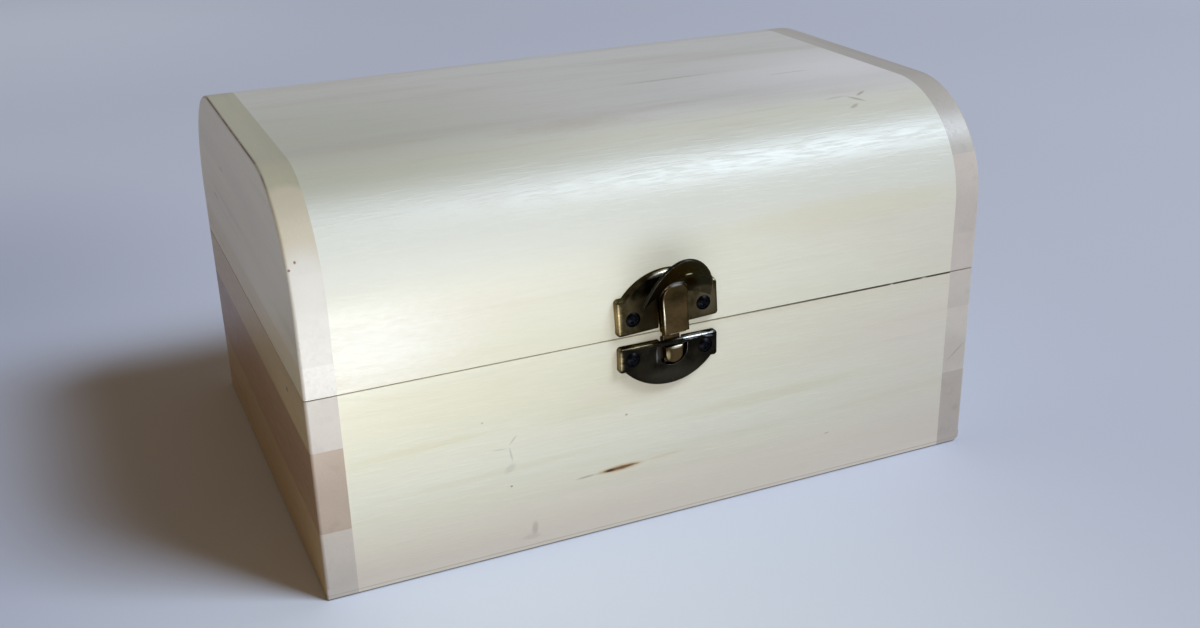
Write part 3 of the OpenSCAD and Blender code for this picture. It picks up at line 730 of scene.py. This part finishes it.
keeperWearAndLight = [
    # lighter along the lower part
    mark("ash", 0.55, (-0.6, -67.4, 40.6), (9.5, 2.5, 3.4), core=0.2, ragged=0.5),
    # a rubbed left rim with a painted reflection, a worn top rim with painted glints, and a painted highlight
    # on the window's left rim
    mark("gold", 0.65, (-14.4, -66.4, 46.7), (1.3, 1.7, 4.2), ragged=0.8),
    mark("silver", 0.45, (6, -66.9, 49.7), (7.5, 1, 0.8), ragged=3),
    mark("gold", 0.22, (-8, -66.9, 49.8), (6.5, 1, 0.7), ragged=1.8),
    mark("silver", 0.22, (-4.75, -67.2, 46.6), (0.4, 0.9, 2.6), ragged=0.5),
]
bronze = metalMaterial("antiqueBronze", bronzeLook)
plateBronze = metalMaterial("plateBronze", bronzeLook, plateWearAndLight)
claspBrass = metalMaterial("rubbedBrass", brassLook, leverWearAndLight)
slateBronze = metalMaterial("blackenedBronze", slateLook, keeperWearAndLight)
darkScrew = metalMaterial("blackenedScrew", screwLook)
springWire = metalMaterial("springWire", wireLook)
print("metal: finishes mixed")


# stamped plates

stampLook = {**inMm(past=2, ahead=5), "steps": 40, "edgeSteps": 5}


def plateOutline(bm, look):  # square ears below and a round above, on the x-z plane
    centre = look["height"] - look["radius"]
    reach = math.sqrt(look["radius"] ** 2 - (look["ear"] - centre) ** 2)
    sweep = 2 * math.atan2(reach, look["ear"] - centre)
    first = bm.verts.new((reach, 0, look["ear"]))
    made = bmesh.ops.spin(bm, geom=[first], cent=(0, 0, centre), axis=(0, 1, 0), angle=-sweep,
                          steps=stampLook["steps"])
    chain = [next(g for g in made["geom_last"] if isinstance(g, bmesh.types.BMVert))]
    half = look["width"] / 2
    for x, z in ((-half, look["ear"]), (-half, 0), (half, 0), (half, look["ear"])):
        chain.append(bm.verts.new((x, 0, z)))
    chain.append(first)
    for pair in zip(chain, chain[1:]):
        bm.edges.new(pair)
    return bmesh.ops.edgeloop_fill(bm, edges=bm.edges[:])["faces"]


def stampedPlate(look):
    bm = bmesh.new()
    moveNew(bm, bmesh.ops.extrude_face_region(bm, geom=plateOutline(bm, look)), (0, -look["out"], 0))
    rim = [e for e in bm.edges if onPlane(e, 1, -look["out"])]
    rim += [e for e in bm.edges if runsAlong(e, 1) and abs(abs(e.verts[0].co.x) - look["width"] / 2) < same]
    roundEdges(bm, rim, look["edge"], stampLook["edgeSteps"], False, False)
    thicken(bm, Vector((0, -1, 0)), look["sheet"])
    bmesh.ops.translate(bm, verts=bm.verts, vec=(-look["shift"], 0, 0))
    return bm


def throughCut(half, low, high):
    return boxMesh((-half, -stampLook["ahead"], low), (half, stampLook["past"], high))


plateLook = {
    **inMm(width=27, ear=9.6, height=14.8, radius=15.2, out=1.8, sheet=0.7, edge=0.95, shift=0.75,
           slotWidth=7.2, slotTop=8.2, screws=18.8, screwUp=4.1, lugWidth=1, lugHeight=2.4, lugIn=0.2),
    "screwTurns": (24, 62),
}


def makeClaspPlate():
    look = plateLook
    half = look["slotWidth"] / 2
    bm = combineMesh(stampedPlate(look), throughCut(half, -stampLook["past"], look["slotTop"]))
    foot = claspPlace["pivotUp"] - look["lugHeight"] / 2
    for left in (-half - look["lugWidth"], half):
        lug = boxMesh((left, look["sheet"] / 2 - look["out"], foot),
                      (left + look["lugWidth"], -look["lugIn"], foot + look["lugHeight"]))
        bm = combineMesh(bm, lug, "UNION")
    moveBy(bm, onLid)
    finishPiece("claspPlate", bm, plateBronze, "lid", "bronze", "clasp_plate")


keeperLook = {
    **inMm(width=26.5, ear=6.6, height=11.8, radius=15.4, out=1.9, sheet=0.6, edge=0.85, shift=0.8,
           windowWidth=8.2, windowTop=1.3, windowFoot=6.6, notch=6.4, notchIn=1, screws=19.5,
           screwUp=-3.3),
    "windowRound": 0.99, "windowSteps": 12, "screwTurns": (10, 48),
}


def roundFoot(bm, foot, radius, segments):  # rounds the two lower corners of an upright block
    lower = [e for e in bm.edges if onPlane(e, 2, foot) and runsAlong(e, 1)]
    roundEdges(bm, lower, radius, segments)


def makeKeeper():
    look = keeperLook
    bm = stampedPlate(look)
    bmesh.ops.scale(bm, vec=(1, 1, -1), verts=bm.verts)
    half = look["windowWidth"] / 2
    window = throughCut(half, -look["windowFoot"], -look["windowTop"])
    roundFoot(window, -look["windowFoot"], half * look["windowRound"], look["windowSteps"])
    bm = combineMesh(bm, window)
    half = look["notch"] / 2
    notch = boxMesh((-half, look["sheet"] - look["out"], -look["windowTop"] - look["notchIn"]),
                    (half, stampLook["past"], stampLook["past"]))
    bm = combineMesh(bm, notch)
    moveBy(bm, onBase)
    finishPiece("claspKeeper", bm, slateBronze, "base", "dark_bronze", "clasp_keeper")


makeClaspPlate()
makeKeeper()
print("clasp: plate and keeper stamped")


# clasp lever

leverLook = {
    **inMm(width=6.6, creaseUp=7.6, creaseOut=4.45, endUp=-0.75, endOut=4.8, endBack=1.7, top=5,
           edge=0.42, frontBand=0.2, topBand=0.05, barOut=2.05, barBack=0.3, barHalf=0.9, barLip=1.1,
           barFoot=1.2, wall=0.7, roof=8.4, roofOut=2.2, hollowUp=3, past=1, billUp=8.9, billOut=2.6,
           billWidth=17.8, billTop=14.1, billMiddle=0.3, billFoot=0.5, billDish=3.15, billSheet=0.7,
           billEdge=0.2, patinaBelow=0.3, patinaAhead=0.05, neckWidth=4.4, neckBack=0.3, neckFront=1,
           neckTop=-2.4, catchWidth=4.7, catchTop=-5.2, catchFoot=-9.6, catchOut=2.5, catchEdge=0.45),
    "topLean": 15.0, "topRound": 0.98, "topSteps": 10, "edgeSteps": 3, "corner": 0.6, "billLean": 38.2,
    "billSides": 96, "billFolds": 9, "billCorner": 1.0,
}


def sideProfile(points, width):  # a profile given as (out, up), pulled across
    bm = bmesh.new()
    bm.faces.new([bm.verts.new((-width / 2, -out, up)) for out, up in points])
    pull(bm, bm.faces[:], (width, 0, 0))
    return bm


def slopeStart(part):  # where the leaning top or bill starts, and how it leans
    look = leverLook
    start = "crease" if part == "top" else part
    return look[start + "Out"], look[start + "Up"], math.radians(look[part + "Lean"])


def onSlope(part, along, ahead):  # a place on the leaning top or bill, as (out, up)
    out, up, lean = slopeStart(part)
    return (out + along * math.sin(lean) + ahead * math.cos(lean),
            up + along * math.cos(lean) - ahead * math.sin(lean))


def fromSlope(part, spot):  # how far a place lies along the slope and ahead of it
    out, up, lean = slopeStart(part)
    out, up = -spot.y - out, spot.z - up
    return up * math.cos(lean) + out * math.sin(lean), out * math.cos(lean) - up * math.sin(lean)


def billRise(x):  # how far the dish brings the bill forward at its sides
    half, dish = leverLook["billWidth"] / 2, leverLook["billDish"]
    radius = (half ** 2 + dish ** 2) / (2 * dish)
    return radius - math.sqrt(radius ** 2 - x ** 2)


def atPoint(v, point):
    return (Vector((-v.co.y, v.co.z)) - Vector(point)).length < same


def onFront(v):  # on the front of the tongue or of its leaning top
    look = leverLook
    return -v.co.y > look["creaseOut"] - look["frontBand"] and fromSlope("top", v.co)[1] > -look["topBand"]


def makeTongue():
    look = leverLook
    up = claspPlace["pivotUp"]
    back = -look["billSheet"] / 2
    tip = onSlope("top", look["top"], 0)
    tipBack = onSlope("bill", fromSlope("bill", Vector((0, -tip[0], tip[1])))[0], back)
    points = [(look["endOut"], look["endUp"]), (look["creaseOut"], look["creaseUp"]), tip, tipBack,
              onSlope("bill", look["billFoot"], back),
              (look["barOut"], up + look["barHalf"]), (look["barBack"], up + look["barHalf"]),
              (look["barBack"], up - look["barHalf"]), (look["barLip"], up - look["barFoot"]),
              (look["endBack"], look["endUp"])]
    bm = sideProfile(points, look["width"])
    ends = [e for e in bm.edges if all(any(atPoint(v, point) for v in e.verts) for point in (tip, tipBack))]
    roundEdges(bm, ends, look["width"] / 2 * look["topRound"], look["topSteps"])
    sharp = [e for e in bm.edges if e.calc_face_angle(0) > look["corner"]]
    front = [e for e in sharp if all(onFront(v) for v in e.verts)]
    roundEdges(bm, front, look["edge"], look["edgeSteps"])
    foot = look["endUp"] - look["past"]
    hollow = [(look["endOut"] - look["wall"], foot), (look["creaseOut"] - look["wall"], look["roof"]),
              (look["roofOut"], look["roof"]), (-look["past"], up + look["hollowUp"]), (-look["past"], foot)]
    return combineMesh(bm, sideProfile(hollow, look["width"] - 2 * look["wall"]))


def makeBill():
    look = leverLook
    bm = bmesh.new()
    half = look["billWidth"] / 2
    bmesh.ops.create_circle(bm, cap_ends=True, segments=look["billSides"], radius=half)
    bmesh.ops.scale(bm, vec=(1, (look["billMiddle"] + look["billTop"]) / half, 1), verts=bm.verts)
    bmesh.ops.translate(bm, verts=bm.verts, vec=(0, -look["billMiddle"], 0))
    slicePlane(bm, (0, look["billFoot"], 0), (0, -1, 0), True)
    for fold in range(-look["billFolds"], look["billFolds"] + 1):
        slicePlane(bm, (half * fold / (look["billFolds"] + 0.5), 0, 0), (1, 0, 0))
    for v in bm.verts:  # dishes the sheet about the line of the bill
        v.co.z = billRise(v.co.x)
    thicken(bm, Vector((0, 0, 1)), look["billSheet"])
    rim = [e for e in bm.edges if e.calc_face_angle(0) > look["billCorner"]]
    roundEdges(bm, rim, look["billEdge"], look["edgeSteps"])
    lean = Matrix.Rotation(math.radians(90 + look["billLean"]), 4, "X")
    moveBy(bm, Matrix.Translation((0, -look["billOut"], look["billUp"])) @ lean)
    return bm


def makeNeck():
    look = leverLook
    points = [(look["endOut"], look["endUp"]), (look["neckFront"], look["neckTop"]),
              (look["neckFront"], look["catchFoot"]), (look["neckBack"], look["catchFoot"]),
              (look["neckBack"], look["neckTop"] + look["wall"]),
              (look["endOut"] - look["wall"], look["endUp"] + look["wall"])]
    neck = sideProfile(points, look["neckWidth"])
    half = look["catchWidth"] / 2
    catch = boxMesh((-half, -look["catchOut"], look["catchFoot"]),
                    (half, -look["neckBack"], look["catchTop"]))
    roundFoot(catch, look["catchFoot"], half * look["topRound"], look["topSteps"])
    rim = [e for e in catch.edges if onPlane(e, 1, -look["catchOut"])]
    roundEdges(catch, rim, look["catchEdge"], look["edgeSteps"])
    return combineMesh(neck, catch, "UNION")


def markPatina(bm):  # 1 on the dark bill, 0 on the brass tongue and catch
    look = leverLook
    layer = bm.faces.layers.float.new("patina")
    for face in bm.faces:
        spot = face.calc_center_median()
        along, ahead = fromSlope("bill", spot)
        above = along > look["billFoot"] - look["patinaBelow"]
        face[layer] = float(above and ahead < billRise(spot.x) + look["patinaAhead"])


def makeLever():
    bm = combineMesh(makeTongue(), makeBill(), "UNION")
    bm = combineMesh(bm, makeNeck(), "UNION")
    markPatina(bm)
    moveBy(bm, onLid)
    finishPiece("claspLever", bm, claspBrass, "lever", "clasp_brass", "clasp_lever")


makeLever()
print("clasp: lever bent")


# screws

screwSteps = {"dome": 7, "round": 40, "sink": 0.1 * mm}
claspScrew = inMm(head=3.8, height=0.9, slotWidth=0.62, slotLength=2.35, slotDepth=0.55)
hingeScrew = inMm(head=3, height=0.6, slotWidth=0.5, slotLength=1.85, slotDepth=0.4)


def screwHead(look, turn):  # a domed head that stands on the x-y plane, with a cross in it
    bm = bmesh.new()
    r, h = look["head"] / 2, look["height"]
    dome = (r * r + h * h) / (2 * h)
    top = bm.verts.new((0, 0, h))
    bmesh.ops.spin(bm, geom=[top], cent=(0, 0, h - dome), axis=(0, 1, 0), angle=math.asin(r / dome),
                   steps=screwSteps["dome"])
    rim = max(bm.verts, key=lambda v: v.co.x)
    foot = bm.verts.new((rim.co.x, 0, -screwSteps["sink"]))
    bm.edges.new((rim, foot))
    bmesh.ops.spin(bm, geom=bm.verts[:] + bm.edges[:], cent=(0, 0, 0), axis=(0, 0, 1), angle=math.tau,
                   steps=screwSteps["round"], use_merge=True)
    bmesh.ops.remove_doubles(bm, verts=bm.verts, dist=same)
    bmesh.ops.holes_fill(bm, edges=[e for e in bm.edges if e.is_boundary], sides=0)
    length, width = look["slotLength"] / 2, look["slotWidth"] / 2
    for quarter in (0, 90):
        cross = boxMesh((-length, -width, h - look["slotDepth"]), (length, width, 2 * h))
        moveBy(cross, Matrix.Rotation(math.radians(turn + quarter), 4, "Z"))
        bm = combineMesh(bm, cross)
    return bm


def gather(bm, other, matrix):
    moveBy(other, matrix)
    mesh = bpy.data.meshes.new("scrap")
    other.to_mesh(mesh)
    other.free()
    bm.from_mesh(mesh)
    bpy.data.meshes.remove(mesh)


def makeScrews(name, node, body, look, places, facing):
    bm = bmesh.new()
    for place, turn in places:
        gather(bm, screwHead(look, turn), place @ Matrix.Rotation(math.radians(90 * facing), 4, "X"))
    finishPiece(name, bm, darkScrew, body, "dark_screw", node)


def sideBySide(base, look):
    spots = [(side * look["screws"] / 2 - look["shift"], -look["out"], look["screwUp"]) for side in (-1, 1)]
    return [(base @ Matrix.Translation(spot), turn) for spot, turn in zip(spots, look["screwTurns"])]


hingeLook = {**inMm(inset=35, screwX=7, leaf=0.9, screwZ=6.4), "firstTurn": 20, "turnStep": 37}


def hingePlaces(up):
    pin = next(j for j in frame["joints"] if j["name"] == "lid_hinge")["pos_m"]
    found = []
    for side in (-1, 1):
        for part in (-1, 1):
            x = side * (bottomHigh.x - hingeLook["inset"]) + part * hingeLook["screwX"]
            spot = (x, boxSizes["backY"] + hingeLook["leaf"], pin[2] + up * hingeLook["screwZ"])
            turn = hingeLook["firstTurn"] + hingeLook["turnStep"] * len(found)
            found.append((Matrix.Translation(spot), turn))
    return found


makeScrews("plateScrews", "clasp_plate_screws", "lid", claspScrew, sideBySide(onLid, plateLook), 1)
makeScrews("keeperScrews", "clasp_keeper_screws", "base", claspScrew, sideBySide(onBase, keeperLook), 1)
makeScrews("hingeBaseScrews", "hinge_base_screws", "base", hingeScrew, hingePlaces(-1), -1)
makeScrews("hingeLidScrews", "hinge_lid_screws", "lid", hingeScrew, hingePlaces(1), -1)
print("screws: 12 heads turned")


# frame nodes that keep their own shape

pinEase = inMm(hinge_left_pin=0.2, hinge_right_pin=0.2, clasp_pin=0.08)


def dressNode(node, mat):
    piece = frame["nodes"][node]
    piece.data.materials.clear()
    piece.data.materials.append(mat)
    return piece


def easeNode(piece, width):
    weld = piece.modifiers.new("weld", "WELD")
    weld.merge_threshold = same
    made = piece.modifiers.new("softEdges", "BEVEL")
    made.width = width
    made.segments = pieceLook["easeSteps"]
    made.limit_method = "ANGLE"
    made.angle_limit = math.radians(pieceLook["easeAngle"])
    evenNormals(piece)


for leaf in ("left_base", "left_lid", "right_base", "right_lid"):
    dressNode("hinge_%s_leaf" % leaf, bronze)
for pin, ease in pinEase.items():
    easeNode(dressNode(pin, darkScrew), ease)
dressNode("clasp_spring", springWire)
print("hinges: leaves, pins and spring dressed")


# floor, light and camera

floorLook = {
    "size": 8.0, "colour": (0.7, 0.72, 0.83, 1), "shade": (0.67, 0.69, 0.8, 1), "roughness": 0.7,
    "gloss": 0.2, "clouds": (2, 2, 2), "cloudRange": (0.3, 0.7),
}
# painted light and shadow on the floor: brighter in front of the box and far behind it, darker to its left
# and behind it at left
floorLightTones = {
    "bright": (0.94, 0.97, 1.0, 1), "cool": (0.45, 0.48, 0.6, 1), "haze": (0.84, 0.87, 0.97, 1),
    "dusk": (0.42, 0.45, 0.57, 1),
}
floorLightAndShade = [
    mark("bright", 0.85, (-60, -150, 0), (220, 160, 50), core=0),
    mark("cool", 0.65, (-175, 190, 0), (140, 190, 50), core=0),
    mark("haze", 0.7, (-150, 750, 0), (380, 330, 50), core=0),
    mark("dusk", 0.9, (-290, -20, 0), (200, 180, 50), core=0),
]


def makeFloor():
    bm = bmesh.new()
    bmesh.ops.create_grid(bm, x_segments=1, y_segments=1, size=floorLook["size"] / 2)
    mesh = bpy.data.meshes.new("floor")
    bm.to_mesh(mesh)
    bm.free()
    floor = bpy.data.objects.new("floor", mesh)
    scene.collection.objects.link(floor)
    mat, shader, coords = newMaterial("paperFloor")
    tone = ramp(noise(coords, floorLook["clouds"]), *floorLook["cloudRange"])
    colour = mixColour(tone, floorLook["colour"], floorLook["shade"])
    put(paintStainsAndLight(coords, colour, floorLightAndShade, floorLightTones), shader.inputs["Base Color"])
    put(floorLook["roughness"], shader.inputs["Roughness"])
    put(floorLook["gloss"], shader.inputs["Specular IOR Level"])
    mesh.materials.append(mat)


lights = {  # at and size in mm
    "window": {"az": 49, "up": 49.5, "far": 6.0, "aim": (0, 0, 0.05), "shadow": True,
               "size": (2200, 2200), "power": 285.0, "colour": (0.72, 0.85, 1.0)},
    "card": {"at": (-88, -176, 4), "size": (60, 50), "power": 0.125, "colour": (1.0, 0.99, 0.97)},
    "paper": {"at": (-45, -206, 4), "size": (34, 36), "power": 0.062, "colour": (0.93, 1.0, 1.0)},
    "sheet": {"at": (10, -270, 4), "size": (260, 140), "power": 0.165, "colour": (1.0, 0.98, 0.93)},
}
surround = {
    "room": {"colour": (1.0, 0.72, 0.42, 1), "strength": 0.153},
    "wall": {"colour": (0.26, 0.275, 0.33, 1), "strength": 1.0},
}


def makeLight(name, at, aim):
    look = lights[name]
    data = bpy.data.lights.new(name, "AREA")
    data.shape = "RECTANGLE"
    data.size, data.size_y = (side * mm for side in look["size"])
    data.energy = look["power"]
    data.color = look["colour"]
    data.use_shadow = look.get("shadow", False)
    lamp = bpy.data.objects.new(name, data)
    scene.collection.objects.link(lamp)
    lamp.visible_camera = False
    lamp.location = at
    lamp.rotation_euler = (Vector(aim) - Vector(at)).to_track_quat("-Z", "Y").to_euler()


def lightScene():
    look = lights["window"]
    az, up = math.radians(look["az"]), math.radians(look["up"])
    way = Vector((math.sin(az) * math.cos(up), -math.cos(az) * math.cos(up), math.sin(up)))
    makeLight("window", way * look["far"], look["aim"])
    for name in ("card", "paper", "sheet"):  # pale paper in front of the box, which throws light up at it
        at = Vector(lights[name]["at"]) * mm
        makeLight(name, at, at + Vector((0, 0, 1)))


def makeSurround():  # a warm room lights the box, and a pale wall is what is seen and reflected
    world = bpy.data.worlds.new("room")
    scene.world = world
    world.use_nodes = True
    tree = world.node_tree
    room, wall = tree.nodes["Background"], tree.nodes.new("ShaderNodeBackground")
    for node, name in ((room, "room"), (wall, "wall")):
        put(surround[name]["colour"], node.inputs["Color"])
        put(surround[name]["strength"], node.inputs["Strength"])
    path = tree.nodes.new("ShaderNodeLightPath").outputs
    seen = calc("MAXIMUM", path["Is Camera Ray"], path["Is Glossy Ray"])
    mix = tree.nodes.new("ShaderNodeMixShader")
    put(calc("MAXIMUM", seen, path["Is Transmission Ray"]), mix.inputs["Fac"])
    put(room.outputs["Background"], mix.inputs[1])
    put(wall.outputs["Background"], mix.inputs[2])
    put(mix.outputs["Shader"], tree.nodes["World Output"].inputs["Surface"])


cameraLook = {
    "at": (-0.1345, -0.338, 0.185), "yaw": 23.02, "pitch": 22.97, "roll": 1.56,
    "focal": 1361, "frame": 1200, "sensor": 36, "near": 0.01, "far": 20,
}


def makeCamera():
    look = cameraLook
    yaw, pitch, roll = (math.radians(look[k]) for k in ("yaw", "pitch", "roll"))
    ahead = Vector((math.sin(yaw) * math.cos(pitch), math.cos(yaw) * math.cos(pitch), -math.sin(pitch)))
    level = Vector((math.cos(yaw), -math.sin(yaw), 0))
    down = ahead.cross(level)
    right = math.cos(roll) * level + math.sin(roll) * down
    below = math.cos(roll) * down - math.sin(roll) * level
    data = bpy.data.cameras.new("camera")
    data.sensor_width = look["sensor"]
    data.lens = data.sensor_width * look["focal"] / look["frame"]
    data.clip_start, data.clip_end = look["near"], look["far"]
    camera = bpy.data.objects.new("camera", data)
    scene.collection.objects.link(camera)
    turn = Matrix((right, -below, -ahead)).transposed()
    camera.matrix_world = Matrix.Translation(look["at"]) @ turn.to_4x4()
    scene.camera = camera


makeFloor()
lightScene()
makeSurround()
makeCamera()
scene.view_settings.view_transform = "Standard"
print("stage: floor, light and camera set")

bpy.context.view_layer.update()
